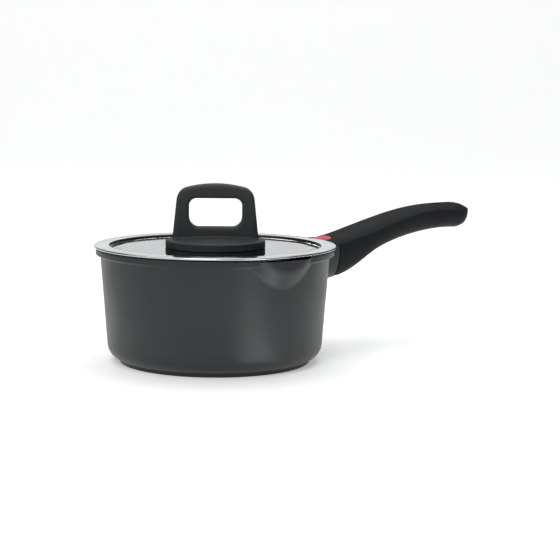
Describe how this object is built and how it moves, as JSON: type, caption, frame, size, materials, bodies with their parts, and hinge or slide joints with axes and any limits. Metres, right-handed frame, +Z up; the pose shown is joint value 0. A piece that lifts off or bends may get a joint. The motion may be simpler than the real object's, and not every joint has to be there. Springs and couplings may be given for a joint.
{
  "type": "saucepan with glass lid",
  "caption": "Cast saucepan with two pouring spouts, a flat glass lid with steel rim and loop knob, and a click-off curved handle with a release button.",
  "frame": {"origin": "centre of the underside of the pan's base", "axes": "+X along the handle, +Z up, pouring spouts at -Y and +Y"},
  "size_m": [0.3897, 0.203, 0.1488],
  "materials": {
    "pan_coating": "satin dark grey non-stick coating on cast aluminium",
    "plate_steel": "turned stainless steel",
    "polished_steel": "polished stainless steel",
    "spring_steel": "rolled spring steel",
    "fasteners": "plain stainless steel",
    "lid_glass": "clear toughened glass",
    "black_plastic": "fine-grained soft-touch black",
    "red_plastic": "satin red",
    "silicone": "matt black silicone",
    "brass": "machined brass"
  },
  "bodies": {
    "pan": {"pan_body": "pan_coating", "induction_plate": "plate_steel"},
    "lid": {"lid_glass": "lid_glass", "lid_rim": "polished_steel", "knob": "black_plastic", "knob_insert": "brass", "knob_gasket": "silicone", "glass_washer": "silicone", "steel_washer": "fasteners", "knob_screw": "fasteners"},
    "handle": {"handle_grip": "black_plastic", "handle_cover": "black_plastic", "handle_tongue": "plate_steel", "seam_buffer": "silicone", "sprung_latch": "spring_steel", "latch_rivets": "fasteners", "tongue_screws": "fasteners", "cover_screws": "fasteners"},
    "button": {"release_button": "red_plastic"}
  },
  "joints": [
    {"name": "lid_lift", "type": "slide", "parent": "pan", "child": "lid", "axis": [0, 0, 1], "range_m": [0, 0.12]},
    {"name": "handle_pull", "type": "slide", "parent": "pan", "child": "handle", "axis": [1, 0, 0], "range_m": [0, 0.05]},
    {"name": "button_press", "type": "slide", "parent": "handle", "child": "button", "axis": [0, 0, -1], "range_m": [0, 0.0025], "stiffness_N_per_m": 1500, "springref_m": -0.002, "deforming": ["sprung_latch"]}
  ]
}
